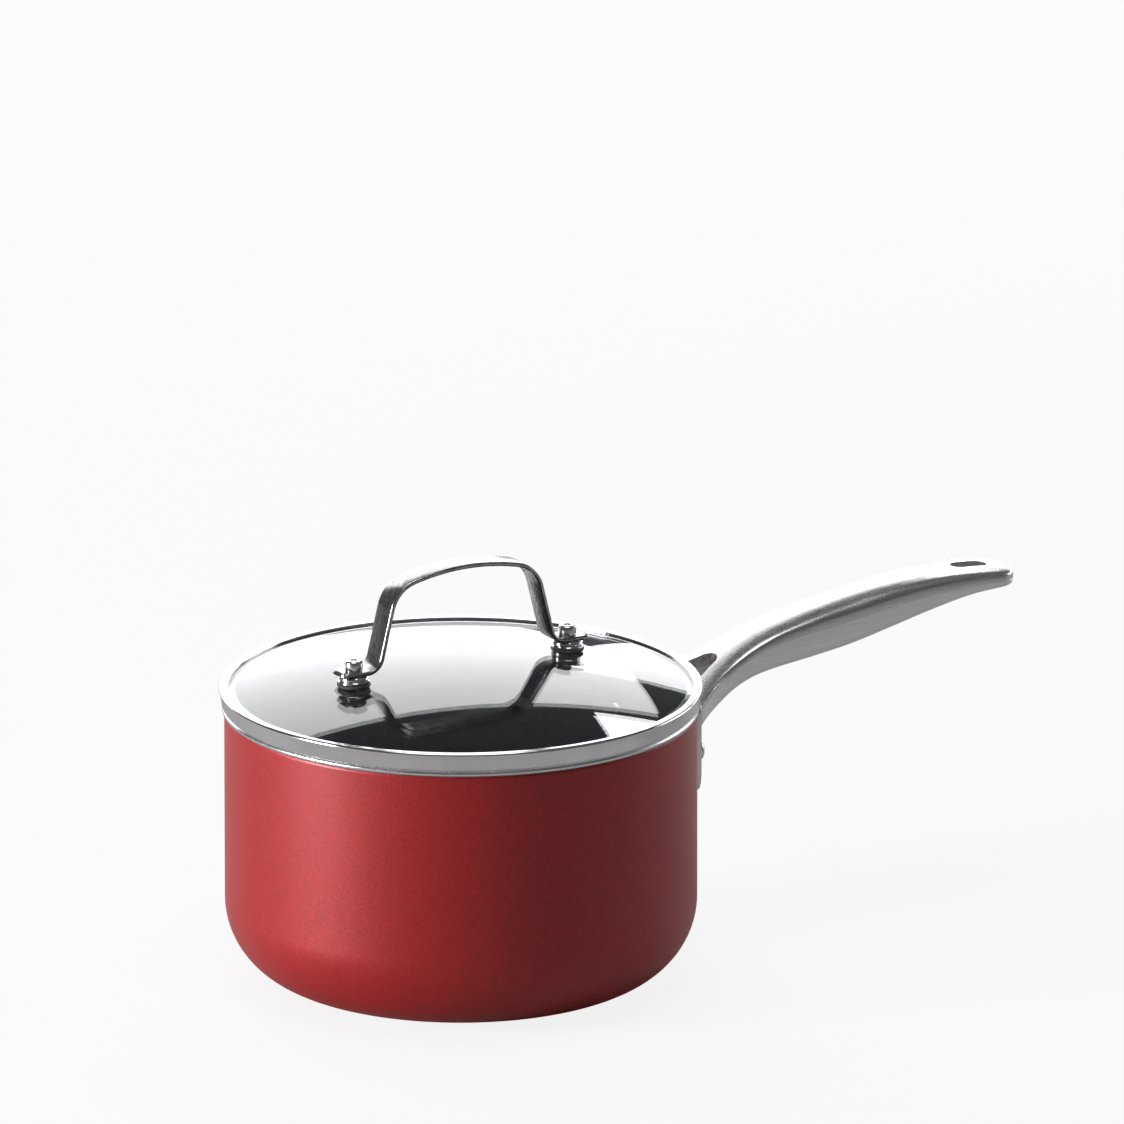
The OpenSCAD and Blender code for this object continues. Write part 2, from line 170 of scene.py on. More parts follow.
def lacquer():
    """Red lacquer with fine metal flakes under a satin clear coat."""
    f = Finish("red_lacquer")
    flakes = f.cells(2300)
    fine = f.noise(2600, 2.0, 0.7)
    cloud = f.noise(14, 3.0)
    height = f.node("ShaderNodeSeparateXYZ", None, {"Vector": f.place}).get("Z")
    foot = f.between(height, 0.004, 0.0, 0.0, 1.0)
    scuffs = f.between(f.noise(60, 6.0, 0.7, f.stretched((1, 1, 9))), 0.60, 0.72) * foot
    red = f.mixed(f.between(flakes, 0.35, 1.0), (0.33, 0.002, 0.004), (0.48, 0.012, 0.016))
    red = f.mixed(f.between(cloud, 0.35, 0.75, 0.0, 0.3), red, (0.26, 0.002, 0.004))
    red = f.mixed(scuffs * 0.6, red, (0.22, 0.05, 0.05))
    rough = f.between(flakes * 0.6 + fine * 0.4, 0.2, 0.8, 0.38, 0.54) + scuffs * 0.2
    grain = f.bump(flakes * 0.7 + fine * 0.5, 0.30, 0.00022)
    metal = f.between(flakes, 0.30, 1.0, 0.10, 0.50)
    return f.surface(base_color=red, metallic=metal, roughness=rough, normal=grain,
                     specular_ior_level=0.1, coat_weight=0.8, coat_roughness=0.42, coat_ior=1.6)


def coating():
    """Dark blue ceramic coating with pale specks."""
    f = Finish("dark_ceramic_coating")
    specks = f.cells(1300)
    cloud = f.noise(30, 4.0)
    light = f.between(specks, 0.93, 1.0)
    blue = f.mixed(f.between(cloud, 0.3, 0.7), (0.006, 0.008, 0.026), (0.012, 0.014, 0.042))
    blue = f.mixed(light * 0.35, blue, (0.07, 0.08, 0.12))
    rough = f.between(cloud, 0.3, 0.7, 0.26, 0.40)
    return f.surface(base_color=blue, metallic=0.0, roughness=rough,
                     normal=f.bump(specks, 0.12, 0.0002))


def bare_lip():
    """Turned and polished bare aluminium."""
    f = Finish("bare_aluminium_lip")
    rings = f.noise(60, 4.0, 0.6, f.stretched((1, 1, 60)))
    stain = f.noise(90, 3.0)
    grey = f.mixed(f.between(rings, 0.3, 0.7), (0.70, 0.70, 0.71), (0.86, 0.86, 0.87))
    return f.surface(base_color=grey, metallic=1.0,
                     roughness=f.between(stain, 0.3, 0.7, 0.20, 0.34),
                     normal=f.bump(rings, 0.08, 0.0001))


def quarter(x, z, r, start, end, steps):
    """Points of an arc in side view; 0 degrees points outward and 90 up."""
    points = []
    for k in range(steps + 1):
        a = math.radians(start + (end - start) * k / steps)
        points.append((x + r * math.cos(a), z + r * math.sin(a)))
    return points


def finished(bm, name, materials, sharp=35):
    """Turns a built shape into an object with smooth faces and crisp edges."""
    bmesh.ops.remove_doubles(bm, verts=bm.verts, dist=1e-7)
    bmesh.ops.recalc_face_normals(bm, faces=bm.faces)
    if bm.calc_volume(signed=True) < 0:
        bmesh.ops.reverse_faces(bm, faces=bm.faces)
    mesh = bpy.data.meshes.new(name)
    bm.to_mesh(mesh)
    bm.free()
    for material in materials:
        mesh.materials.append(material)
    mesh.polygons.foreach_set("use_smooth", [True] * len(mesh.polygons))
    mesh.set_sharp_from_angle(angle=math.radians(sharp))
    piece = bpy.data.objects.new(name, mesh)
    bpy.context.scene.collection.objects.link(piece)
    return piece


def turned(name, outline, materials, slots=None, steps=256, closed=False, sharp=35):
    """A round piece: the outline's (radius, height) points in mm, spun about the upright axis."""
    bm = bmesh.new()
    rings = []
    for r, z in outline:
        if r < 1e-6:
            rings.append([bm.verts.new((0, 0, z * mm))])
        else:
            rings.append([bm.verts.new((r * mm * math.cos(2 * math.pi * k / steps),
                                        r * mm * math.sin(2 * math.pi * k / steps), z * mm))
                          for k in range(steps)])
    pairs = [(i, i + 1) for i in range(len(rings) - 1)]
    if closed:
        pairs.append((len(rings) - 1, 0))
    for i, j in pairs:
        a, b = rings[i], rings[j]
        for k in range(steps):
            n = (k + 1) % steps
            corners = [a[k % len(a)], b[k % len(b)], b[n % len(b)], a[n % len(a)]]
            corners = [v for place, v in enumerate(corners) if v not in corners[:place]]
            if len(corners) > 2:
                bm.faces.new(corners).material_index = slots[i] if slots else 0
    return finished(bm, name, materials, sharp)


def plain_mesh(piece):
    """Applies every modifier on a piece."""
    mesh = bpy.data.meshes.new_from_object(
        piece.evaluated_get(bpy.context.evaluated_depsgraph_get()))
    piece.modifiers.clear()
    piece.data = mesh
    mesh.name = piece.name
    return piece


def drilled(piece, cutters, sharp=35):
    """Cuts solid cutters out of a piece."""
    for cutter in cutters:
        cut = piece.modifiers.new("cut", "BOOLEAN")
        cut.operation = "DIFFERENCE"
        cut.solver = "EXACT"
        cut.object = cutter
    bpy.context.view_layer.update()
    plain_mesh(piece)
    for cutter in cutters:
        bpy.data.objects.remove(cutter)
    piece.data.polygons.foreach_set("use_smooth", [True] * len(piece.data.polygons))
    piece.data.set_sharp_from_angle(angle=math.radians(sharp))
    return piece


def rod(radius, length, move, steps=48):
    """A plain cutter, standing up from z = 0 before move is applied. Sizes in mm."""
    cutter = turned("cutter", [(0, 0), (radius, 0), (radius, length), (0, length)], [],
                    steps=steps)
    cutter.data.transform(move)
    return cutter


pan_lo, pan_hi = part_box("pan_body")
lip_r = pan_hi.x / mm
wall_r = lip_r - 0.8
inner_r = wall_r - 2.6
foot_z = pan_lo.z / mm
lip_z = pan_hi.z / mm
plate_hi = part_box("base_plate")[1]
plate_r = plate_hi.x / mm
plate_top = plate_hi.z / mm
foot_r = 29
floor_z = plate_top + 4

outside = [(0, plate_top), (plate_r, plate_top), (plate_r, foot_z + 0.25), (plate_r + 0.3, foot_z)]
outside += quarter(wall_r - foot_r, foot_z + foot_r, foot_r, -90, 0, 24)
outside += [(wall_r, foot_z + foot_r + 0.6), (wall_r, foot_z + foot_r + 12), (wall_r, lip_z - 20),
            (wall_r, lip_z - 3.4), (wall_r, lip_z - 2.9)]
outside += [(wall_r - 0.12, lip_z - 2.72), (wall_r - 0.12, lip_z - 2.5)]
red_end = len(outside) - 1
lip = [(wall_r + 0.32 - 0.3, lip_z - 2.38)]
lip += quarter(lip_r - 0.95, lip_z - 1.35, 0.95, -60, 40, 8)
lip += [(lip_r - 0.55, lip_z - 0.32), (lip_r - 0.95, lip_z - 0.05), (lip_r - 1.3, lip_z)]
lip += [(inner_r + 0.7, lip_z), (inner_r + 0.2, lip_z - 0.15), (inner_r, lip_z - 0.6)]
bare_end = len(outside) + len(lip) - 1
inside = [(inner_r, lip_z - 1.0), (inner_r, lip_z - 20), (inner_r, floor_z + 40)]
inside += quarter(inner_r - 26.5, floor_z + 26.5, 26.5, 0, -90, 20)
inside += [(25, floor_z), (0, floor_z)]
pan_outline = outside + lip + inside
pan_slots = [0 if i < red_end else 1 if i < bare_end else 2 for i in range(len(pan_outline))]
red_lacquer = lacquer()
dark_coating = coating()
polished_lip = bare_lip()

rivet_turn = math.radians(17.4)
rivet_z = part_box("handle_bracket")[1].z / mm - 19
pan = turned("pan_body_shell", pan_outline, [red_lacquer, polished_lip, dark_coating], pan_slots)
drilled(pan, [rod(2.55, 16, Matrix.Rotation(side * rivet_turn, 4, "Z")
                  @ Matrix.Translation(((inner_r - 6) * mm, 0, rivet_z * mm))
                  @ Matrix.Rotation(math.pi / 2, 4, "Y")) for side in (-1, 1)])
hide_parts("pan_body")
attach(pan, "pan")


# ---- Base plate ----
# A disc of magnetic stainless steel pressed into the foot of the pan, so that it heats on an
# induction hob. Its face is turned on a lathe, which leaves three grooves and fine rings.

def turned_steel():
    """Bare steel with the fine rings of a lathe tool."""
    f = Finish("turned_steel")
    flat = f.stretched((1, 1, 0))
    radius = f.node("ShaderNodeVectorMath", {"operation": "LENGTH"}, {0: flat}).get("Value")
    rings = f.node("ShaderNodeTexNoise", {"noise_dimensions": "1D"},
                   {"W": radius, "Scale": 2200, "Detail": 2.0}).get("Fac")
    heat = f.noise(25, 4.0)
    grey = f.mixed(f.between(rings, 0.3, 0.7), (0.50, 0.50, 0.51), (0.74, 0.73, 0.72))
    grey = f.mixed(f.between(heat, 0.5, 0.8, 0.0, 0.5), grey, (0.42, 0.37, 0.32))
    return f.surface(base_color=grey, metallic=1.0,
                     roughness=f.between(heat, 0.3, 0.7, 0.26, 0.42),
                     normal=f.bump(rings, 0.25, 0.0002))


plate_outline = [(0, 0)]
for share in (0.3, 0.58, 0.86):
    groove = plate_r * share
    plate_outline += [(groove - 0.75, 0), (groove - 0.55, 0.4), (groove + 0.55, 0.4),
                      (groove + 0.75, 0)]
plate_outline += [(plate_r - 0.35, 0), (plate_r, 0.35), (plate_r, plate_top), (0, plate_top)]
base_plate = turned("base_plate_disc", plate_outline, [turned_steel()])
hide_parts("base_plate")
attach(base_plate, "pan")


# ---- Bracket ----
# A stainless steel strap rolled to the curve of the pan, which carries the handle. Two rivets
# hold it through the wall.

def lofted(name, rings, materials, sharp=35):
    """A skin through equal rings of points in mm, closed at both ends."""
    bm = bmesh.new()
    made = [[bm.verts.new(Vector(p) * mm) for p in ring] for ring in rings]
    count = len(made[0])
    for a, b in zip(made, made[1:]):
        for k in range(count):
            n = (k + 1) % count
            bm.faces.new((a[k], a[n], b[n], b[k]))
    bm.faces.new(made[0])
    bm.faces.new(reversed(made[-1]))
    return finished(bm, name, materials, sharp)


def satin_steel(name, scale, low=0.20, high=0.34, light=(0.80, 0.79, 0.78),
                dark=(0.62, 0.61, 0.60), depth=0.00012):
    """Stainless steel rubbed along one axis; scale is the grain's fineness along each axis."""
    f = Finish(name)
    lines = f.noise(1.0, 3.0, 0.65, f.stretched(scale))
    grit = f.noise(1900, 2.0, 0.6)
    smear = f.noise(38, 4.0, 0.6)
    grain = lines * 0.65 + grit * 0.35
    grey = f.mixed(f.between(grain, 0.32, 0.62), dark, light)
    rough = f.between(grain * 0.6 + smear * 0.4, 0.3, 0.7, low, high)
    return f.surface(base_color=grey, metallic=1.0, roughness=rough,
                     normal=f.bump(grain, 0.22, depth))


bracket_lo, bracket_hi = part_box("handle_bracket")
bracket_r = wall_r + 2.3
half_w = bracket_hi.y / mm
low_z, top_z = bracket_lo.z / mm, bracket_hi.z / mm


def bracket_ring(y):
    """Section of the bracket at one distance across it, with softened outer corners."""
    into_low = max(0.0, abs(y) - (half_w - 9))
    into_top = max(0.0, abs(y) - (half_w - 4))
    low = low_z + 9 - math.sqrt(max(0.0, 81 - into_low ** 2))
    top = top_z - 4 + math.sqrt(max(0.0, 16 - into_top ** 2))
    low, top = min(low, 0.5 * (low + top) - 0.6), max(top, 0.5 * (low + top) + 0.6)
    back = math.sqrt(wall_r ** 2 - y ** 2)
    front = math.sqrt(bracket_r ** 2 - y ** 2)
    soft = 0.45
    ring = [(back, y, low), (front - soft, y, low), (front - 0.13, y, low + 0.13)]
    ring += [(front, y, low + soft + (top - low - 2 * soft) * k / 6) for k in range(7)]
    ring += [(front - 0.13, y, top - 0.13), (front - soft, y, top), (back, y, top)]
    return ring


across = [half_w * 0.9995 * math.sin(math.pi / 2 * k / 36) for k in range(-36, 37)]
bracket_steel = satin_steel("bracket_steel", (900, 900, 60))
bracket = lofted("handle_bracket_plate", [bracket_ring(y) for y in across], [bracket_steel])
drilled(bracket, [rod(2.55, 16, Matrix.Rotation(side * rivet_turn, 4, "Z")
                      @ Matrix.Translation(((inner_r - 2) * mm, 0, rivet_z * mm))
                      @ Matrix.Rotation(math.pi / 2, 4, "Y")) for side in (-1, 1)])
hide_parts("handle_bracket")
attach(bracket, "pan")


# ---- Rivets ----
# Two solid steel rivets with a domed head outside and a flat button head inside the pan. One is
# turned, and a node tree sets both at their angles round the wall.

def pair_tree():
    """Copies a piece to two places along X, turned about the upright axis."""
    tree = bpy.data.node_groups.new("pair", "GeometryNodeTree")
    face = tree.interface
    face.new_socket("Geometry", in_out="OUTPUT", socket_type="NodeSocketGeometry")
    face.new_socket("Piece", in_out="INPUT", socket_type="NodeSocketGeometry")
    face.new_socket("Spacing", in_out="INPUT", socket_type="NodeSocketFloat")
    face.new_socket("Turn", in_out="INPUT", socket_type="NodeSocketFloat")
    face.new_socket("Finish", in_out="INPUT", socket_type="NodeSocketMaterial")
    given = tree.nodes.new("NodeGroupInput")
    result = tree.nodes.new("NodeGroupOutput")
    half = tree.nodes.new("ShaderNodeMath")
    half.operation = "MULTIPLY"
    half.inputs[1].default_value = -0.5
    start = tree.nodes.new("ShaderNodeCombineXYZ")
    step = tree.nodes.new("ShaderNodeCombineXYZ")
    line = tree.nodes.new("GeometryNodeMeshLine")
    line.mode = "OFFSET"
    line.inputs["Count"].default_value = 2
    order = tree.nodes.new("GeometryNodeInputIndex")
    centred = tree.nodes.new("ShaderNodeMath")
    centred.operation = "SUBTRACT"
    centred.inputs[1].default_value = 0.5
    angle = tree.nodes.new("ShaderNodeMath")
    angle.operation = "MULTIPLY"
    turn = tree.nodes.new("ShaderNodeCombineXYZ")
    place = tree.nodes.new("GeometryNodeInstanceOnPoints")
    real = tree.nodes.new("GeometryNodeRealizeInstances")
    paint = tree.nodes.new("GeometryNodeSetMaterial")
    for source, target in (
        (given.outputs["Spacing"], half.inputs[0]),
        (half.outputs[0], start.inputs["X"]),
        (given.outputs["Spacing"], step.inputs["X"]),
        (start.outputs[0], line.inputs["Start Location"]),
        (step.outputs[0], line.inputs["Offset"]),
        (order.outputs[0], centred.inputs[0]),
        (centred.outputs[0], angle.inputs[0]),
        (given.outputs["Turn"], angle.inputs[1]),
        (angle.outputs[0], turn.inputs["Z"]),
        (line.outputs["Mesh"], place.inputs["Points"]),
        (given.outputs["Piece"], place.inputs["Instance"]),
        (turn.outputs[0], place.inputs["Rotation"]),
        (place.outputs["Instances"], real.inputs["Geometry"]),
        (real.outputs["Geometry"], paint.inputs["Geometry"]),
        (given.outputs["Finish"], paint.inputs["Material"]),
        (paint.outputs["Geometry"], result.inputs["Geometry"]),
    ):
        tree.links.new(source, target)
    return tree


pairing = pair_tree()


def paired(piece, spacing, turn, material):
    """Makes both of a pair of like pieces from one."""
    piece.data.materials.clear()
    made = piece.modifiers.new("pair", "NODES")
    made.node_group = pairing
    values = {"Spacing": spacing, "Turn": turn, "Finish": material}
    for item in pairing.interface.items_tree:
        if item.in_out == "INPUT" and item.name in values:
            made[item.identifier] = values[item.name]
    bpy.context.view_layer.update()
    return plain_mesh(piece)


rivet_outline = [(0, inner_r - 1.3), (4.3, inner_r - 1.3), (4.62, inner_r - 1.15),
                 (4.7, inner_r - 0.85), (4.7, inner_r - 0.16), (2.5, inner_r - 0.12),
                 (2.5, bracket_r), (3.75, bracket_r - 0.02), (3.9, bracket_r + 0.15),
                 (3.88, bracket_r + 0.5)]
rivet_outline += [(3.88 * math.cos(a), bracket_r + 0.5 + 1.78 * math.sin(a))
                  for a in (math.radians(d) for d in range(10, 90, 10))]
rivet_outline += [(0, bracket_r + 2.28)]
rivet_steel = satin_steel("rivet_steel", (700, 700, 700), 0.14, 0.26)
rivets = turned("bracket_rivets", rivet_outline, [], steps=64)
rivets.data.transform(Matrix.Translation((0, 0, rivet_z * mm))
                      @ Matrix.Rotation(math.pi / 2, 4, "Y"))
paired(rivets, 0.0, 2 * rivet_turn, rivet_steel)
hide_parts("bracket_rivet_left", "bracket_rivet_right")
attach(rivets, "pan")


# ---- Long handle ----
# Two stainless steel pressings welded along a seam: a crowned top and a deep channel below it.
# The handle forks where it meets the bracket, and a hanging slot goes through near the tip.

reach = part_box("handle_upper_shell")[1].x / mm
grip = 10.8
root = 24.5
# From the wall outward: distance, half width, seam above the lip, crown, depth of the channel
handle_rows = [
    (-10.5, root + 3, -14.8, 3.2, 9),
    (0.5, root - 0.5, -10.4, 3.6, 9.2),
    (7.5, root * 0.77, -7.6, 3.9, 9.2),
    (14.5, root * 0.61, -4.8, 4.1, 8.9),
    (22.5, root * 0.2 + grip * 0.66, -1.5, 4.2, 8.4),
    (30.5, grip + 0.2, 1.8, 4.5, 8.8),
    (39.5, grip, 4.6, 4.9, 9.8),
    (55.5, grip, 7.3, 5.9, 10.5),
    (71.5, grip, 9.3, 6.7, 10.1),
    (87.5, grip + 0.1, 11.8, 6.5, 8.9),
    (103.5, grip + 0.3, 13.6, 5.9, 6.7),
    (119.5, grip + 0.5, 14.6, 4.9, 4.3),
    (131.5, grip + 0.3, 14.4, 4.1, 3.1),
    (139.5, grip, 14.1, 3.2, 2.5),
]


def row_at(x, column):
    """Smooth value of one column at a distance from the axis."""
    rows = handle_rows
    away = x - wall_r
    i = 0
    while i < len(rows) - 2 and away >= rows[i + 1][0]:
        i += 1

    def slope(k):
        before, after = rows[max(0, k - 1)], rows[min(len(rows) - 1, k + 1)]
        return (after[column] - before[column]) / (after[0] - before[0])

    w = rows[i + 1][0] - rows[i][0]
    t = (away - rows[i][0]) / w
    return (rows[i][column] * (2 * t ** 3 - 3 * t ** 2 + 1)
            + slope(i) * w * (t ** 3 - 2 * t ** 2 + t)
            + rows[i + 1][column] * (3 * t ** 2 - 2 * t ** 3)
            + slope(i + 1) * w * (t ** 3 - t ** 2))


tip_r = 8.0
tip_soft = 2.2


def tip_width(x):
    into = x - (reach - tip_r)
    cut = 0 if into <= 0 else tip_r - math.sqrt(max(0.0, tip_r ** 2 - into ** 2))
    return row_at(x, 1) - cut


def tip_height(x):
    """How much of its height the handle keeps as its end rounds off."""
    into = max(0.0, x - (reach - tip_soft)) / tip_soft
    return 0.30 + 0.70 * math.sqrt(max(0.0, 1 - into ** 2))


def upper_section(x, n=16):
    w, z, keep = tip_width(x), lip_z + row_at(x, 2), tip_height(x)
    top = row_at(x, 3) * keep
    side = min(2.2, top * 0.45)
    round_at = 0.85 - 0.27 * (x - wall_r) / (reach - wall_r)
    ring = [(x, -w + 0.12, z), (x, -w, z + 0.12)]
    for k in range(1, 2 * n):
        a = math.pi - math.pi * k / (2 * n)
        ring.append((x, w * math.copysign(abs(math.cos(a)) ** round_at, math.cos(a)),
                     z + side + (top - side) * math.sin(a) ** 0.85))
    return ring + [(x, w, z + 0.12), (x, w - 0.12, z)]


def lower_section(x, n=16):
    w, z, keep = tip_width(x) - 0.3, lip_z + row_at(x, 2), tip_height(x)
    low = row_at(x, 4) * keep
    ring = [(x, w - 0.12, z), (x, w, z - 0.12)]
    for k in range(1, 2 * n):
        a = math.pi * k / (2 * n)
        ring.append((x, w * math.copysign(abs(math.cos(a)) ** 0.5, math.cos(a)),
                     z - 0.25 * low - 0.75 * low * math.sin(a) ** 0.6))
    return ring + [(x, -w, z - 0.12), (x, -w + 0.12, z)]


def prism(points, low, high):
    """A cutter with a flat outline in mm, standing from low to high."""
    bm = bmesh.new()
    rings = [[bm.verts.new((x * mm, y * mm, z * mm)) for x, y in points] for z in (low, high)]
    count = len(points)
    for k in range(count):
        n = (k + 1) % count
        bm.faces.new((rings[0][k], rings[0][n], rings[1][n], rings[1][k]))
    bm.faces.new(rings[0])
    bm.faces.new(reversed(rings[1]))
    return finished(bm, "cutter", [])


fork_x = wall_r + 20.5
fork_outline = quarter(fork_x - 5, 0, 5, -79, 79, 20)
fork_outline += [(wall_r - 14.5, root - 5), (wall_r - 14.5, 5 - root)]
slot_x = reach - 15.5
slot_half, slot_r = 3.6, 3.4
slot_outline = (quarter(slot_x + slot_half, 0, slot_r, -90, 90, 14)
                + quarter(slot_x - slot_half, 0, slot_r, 90, 270, 14))


def handle_cutters():
    return [prism(fork_outline, lip_z - 30, lip_z + 30), prism(slot_outline, lip_z, lip_z + 40),
            rod(bracket_r, 60, Matrix.Translation((0, 0, (lip_z - 40) * mm)), 256)]


stations = [wall_r - 8.5 + 2.4 * k for k in range(int((reach - 8 - wall_r + 8.5) / 2.4))]
stations += [reach - 8 + 8 * math.sin(math.radians(a)) for a in range(0, 72, 9)]
stations += [reach - tip_soft + tip_soft * math.sin(math.radians(a)) for a in (30, 50, 65, 77)]
stations = sorted(set(round(x, 4) for x in stations)) + [reach - 0.02]
top_steel = satin_steel("handle_top_steel", (45, 800, 800), 0.20, 0.34)
# The channel's steel is given a paler colour than the top's: painted light, so that the same steel
# renders brighter on the channel's sides.
under_steel_painted_light = satin_steel("handle_channel_steel_painted_light", (45, 700, 700), 0.28, 0.42,
                          (0.92, 0.92, 0.92), (0.80, 0.80, 0.80))
for name, section, node, steel in (
    ("handle_top", upper_section, "handle_upper_shell", top_steel),
    ("handle_channel", lower_section, "handle_lower_shell", under_steel_painted_light),
):
    shell = lofted(name, [section(x) for x in stations], [steel], 40)
    drilled(shell, handle_cutters(), 40)
    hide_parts(node)
    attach(shell, "pan")


# ---- Lid glass ----
# A shallow dome of tempered glass, 4 mm thick, with two holes for the screws of its handle. Its
# edge is ground and sits inside the steel band.

def clear_glass():
    """Clear glass with faint finger smears."""
    f = Finish("tempered_glass")
    smear = f.noise(22, 5.0, 0.6, f.stretched((1, 2.2, 1), (0, 0, 0.5)))
    print_lines = f.noise(9, 2.0)
    rough = f.between(smear * print_lines, 0.22, 0.42, 0.0, 0.045)
    return f.surface(base_color=(0.93, 0.97, 0.98), metallic=0.0, roughness=rough,
                     transmission_weight=1.0, ior=1.5,
                     normal=f.bump(f.noise(16, 1.0), 0.02, 0.0004))


glass_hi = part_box("lid_glass")[1]
dome_r = 350.0
glass_r = glass_hi.x / mm
dome_z = glass_hi.z / mm - dome_r
under_r = dome_r - 4


def dome_height(r, ball):
    return dome_z + math.sqrt(ball ** 2 - r ** 2)


rings_out = [glass_r * k / 44 for k in range(44)]
glass_outline = [(r, dome_height(r, dome_r)) for r in rings_out]
glass_outline += [(glass_r - 0.3, dome_height(glass_r - 0.3, dome_r)),
                  (glass_r, dome_height(glass_r, dome_r) - 0.25),
                  (glass_r, dome_height(glass_r, under_r) + 0.25)]
glass_outline += [(r, dome_height(r, under_r)) for r in reversed([*rings_out, glass_r - 0.3])]
glass = turned("lid_glass_dome", glass_outline, [clear_glass()], steps=240)
right_nut_lo, right_nut_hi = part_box("lid_nut_right")
screw_x = right_nut_lo.x / mm + (right_nut_hi - right_nut_lo).x / mm / 2
drilled(glass, [rod(3.5, 30, Matrix.Translation((side * screw_x * mm, 0, 0.095)))
                for side in (-1, 1)])
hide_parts("lid_glass")
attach(glass, "lid")


# ---- Lid rim band ----
# A strip of polished stainless steel rolled round the edge of the glass and crimped over it. Its
# face stands on the lip of the pan, and a thin skirt hangs inside the wall.

def polished_steel(name, low=0.06, high=0.16):
    """Bright stainless steel with faint rubbing marks."""
    f = Finish(name)
    haze = f.noise(55, 4.0, 0.6)
    lines = f.noise(1.0, 3.0, 0.6, f.stretched((90, 90, 1500)))
    grey = f.mixed(f.between(haze, 0.35, 0.7), (0.84, 0.84, 0.85), (0.73, 0.73, 0.74))
    rough = f.between(haze * 0.6 + lines * 0.4, 0.3, 0.7, low, high)
    return f.surface(base_color=grey, metallic=1.0, roughness=rough,
                     normal=f.bump(lines, 0.06, 0.00008))


band_lo, band_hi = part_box("lid_rim_band")
band_r = band_hi.x / mm
band_top = band_hi.z / mm
skirt_r = inner_r - 0.9
skirt_low = band_lo.z / mm
band_outline = [(skirt_r - 0.4, skirt_low), (skirt_r - 0.1, skirt_low + 0.12),
                (skirt_r, skirt_low + 0.4), (skirt_r, lip_z), (band_r - 1.3, lip_z),
                (band_r - 1.08, lip_z + 0.12), (band_r - 0.95, lip_z + 0.5),
                (band_r - 0.75, lip_z + 2.2), (band_r - 0.42, band_top - 1.75)]
band_outline += quarter(band_r - 0.85, band_top - 0.85, 0.85, -40, 105, 12)
band_outline += [(band_r - 1.7, band_top - 0.12), (glass_r - 0.9, band_top - 0.14),
                 (glass_r - 1.25, band_top - 0.24), (glass_r - 1.4, band_top - 0.5),
                 (glass_r - 1.4, dome_height(glass_r - 1.4, dome_r)),
                 (glass_r, dome_height(glass_r, dome_r)),
                 (glass_r, dome_height(glass_r, under_r)),
                 (skirt_r - 0.8, dome_height(skirt_r - 0.8, under_r)),
                 (skirt_r - 0.8, skirt_low + 0.4), (skirt_r - 0.7, skirt_low + 0.12)]
band = turned("lid_rim_band_ring", band_outline, [polished_steel("polished_band_steel")],
              closed=True)
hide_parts("lid_rim_band")
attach(band, "lid")


# ---- Lid handle ----
# One flat bar of stainless steel bent into an arch with two feet. Each foot has rounded corners
# and a hole for its screw.

strap_lo, strap_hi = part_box("lid_handle")
strap_foot = strap_lo.z / mm
strap_top = strap_hi.z / mm
strap_t = 1.6
strap_half = strap_hi.y / mm
lean_angle = 14
lean = math.radians(lean_angle)
arch_r, shoulder_r, ankle_r, toe_r = 85, 11, 5, 7
arch_z = strap_top - strap_t - arch_r
low_x, low_z = screw_x - 3.2, strap_foot + strap_t + ankle_r
bends = shoulder_r + ankle_r + strap_t
arch_to_shoulder = arch_r - shoulder_r
bend_x = screw_x - 24
for step in range(6):
    bend_z = arch_z + math.sqrt(arch_to_shoulder ** 2 - bend_x ** 2)
    bend_x = (low_x - bends * math.cos(lean)
              - (bend_z - low_z + bends * math.sin(lean)) * math.tan(lean))
bend_z = arch_z + math.sqrt(arch_to_shoulder ** 2 - bend_x ** 2)
arch_turn = math.degrees(math.asin(bend_x / arch_to_shoulder))


def strap_path():
    """Middle line of half the bar, from the top of the arch to the end of a foot."""
    points = []
    for x, z, r, start, end, steps in (
        (0, arch_z, arch_r + strap_t / 2, 0, arch_turn, 12),
        (bend_x, bend_z, shoulder_r + strap_t / 2, arch_turn, 90 - lean_angle, 18),
        (low_x, low_z, ankle_r + strap_t / 2, -90 - lean_angle, -180, 16),
        (screw_x + 4, strap_foot + toe_r, toe_r - strap_t / 2, 180, 155, 5),
    ):
        for k in range(steps + 1):
            a = math.radians(start + (end - start) * k / steps)
            points.append(Vector((x + r * math.sin(a), 0, z + r * math.cos(a))))
    clean = [points[0]]
    for p in points[1:]:
        if (p - clean[-1]).length > 0.05:
            clean.append(p)
    return clean


def filled(points, gap):
    """The same line with extra points wherever two are further apart than gap."""
    line = [points[0]]
    for p in points[1:]:
        pieces = max(1, math.ceil((p - line[-1]).length / gap))
        start = line[-1]
        line += [start.lerp(p, k / pieces) for k in range(1, pieces + 1)]
    return line


half_line = filled(strap_path(), 1.0)
foot_length = sum((b - a).length for a, b in zip(half_line, half_line[1:]))
line = [Vector((-p.x, 0, p.z)) for p in reversed(half_line[1:])] + half_line
strap_rings = []
walked = 0.0
for i, p in enumerate(line):
    before, after = line[max(0, i - 1)], line[min(len(line) - 1, i + 1)]
    along = (after - before).normalized()
    out = Vector((-along.z, 0, along.x))
    if i:
        walked += (p - line[i - 1]).length
    to_end = min(walked, 2 * foot_length - walked)
    into = max(0.0, 2.5 - to_end)
    half = strap_half - (2.5 - math.sqrt(max(0.0, 2.5 ** 2 - into ** 2)))
    ring = []
    for cy, cn, start in ((1, 1, 0), (-1, 1, 90), (-1, -1, 180), (1, -1, 270)):
        for a in (0, 22.5, 45, 67.5, 90):
            t = math.radians(start + a)
            y = cy * (half - 0.62) + 0.62 * math.cos(t)
            n = cn * (strap_t / 2 - 0.55) + 0.55 * math.sin(t)
            ring.append(p + out * n + Vector((0, y, 0)))
    strap_rings.append(ring)
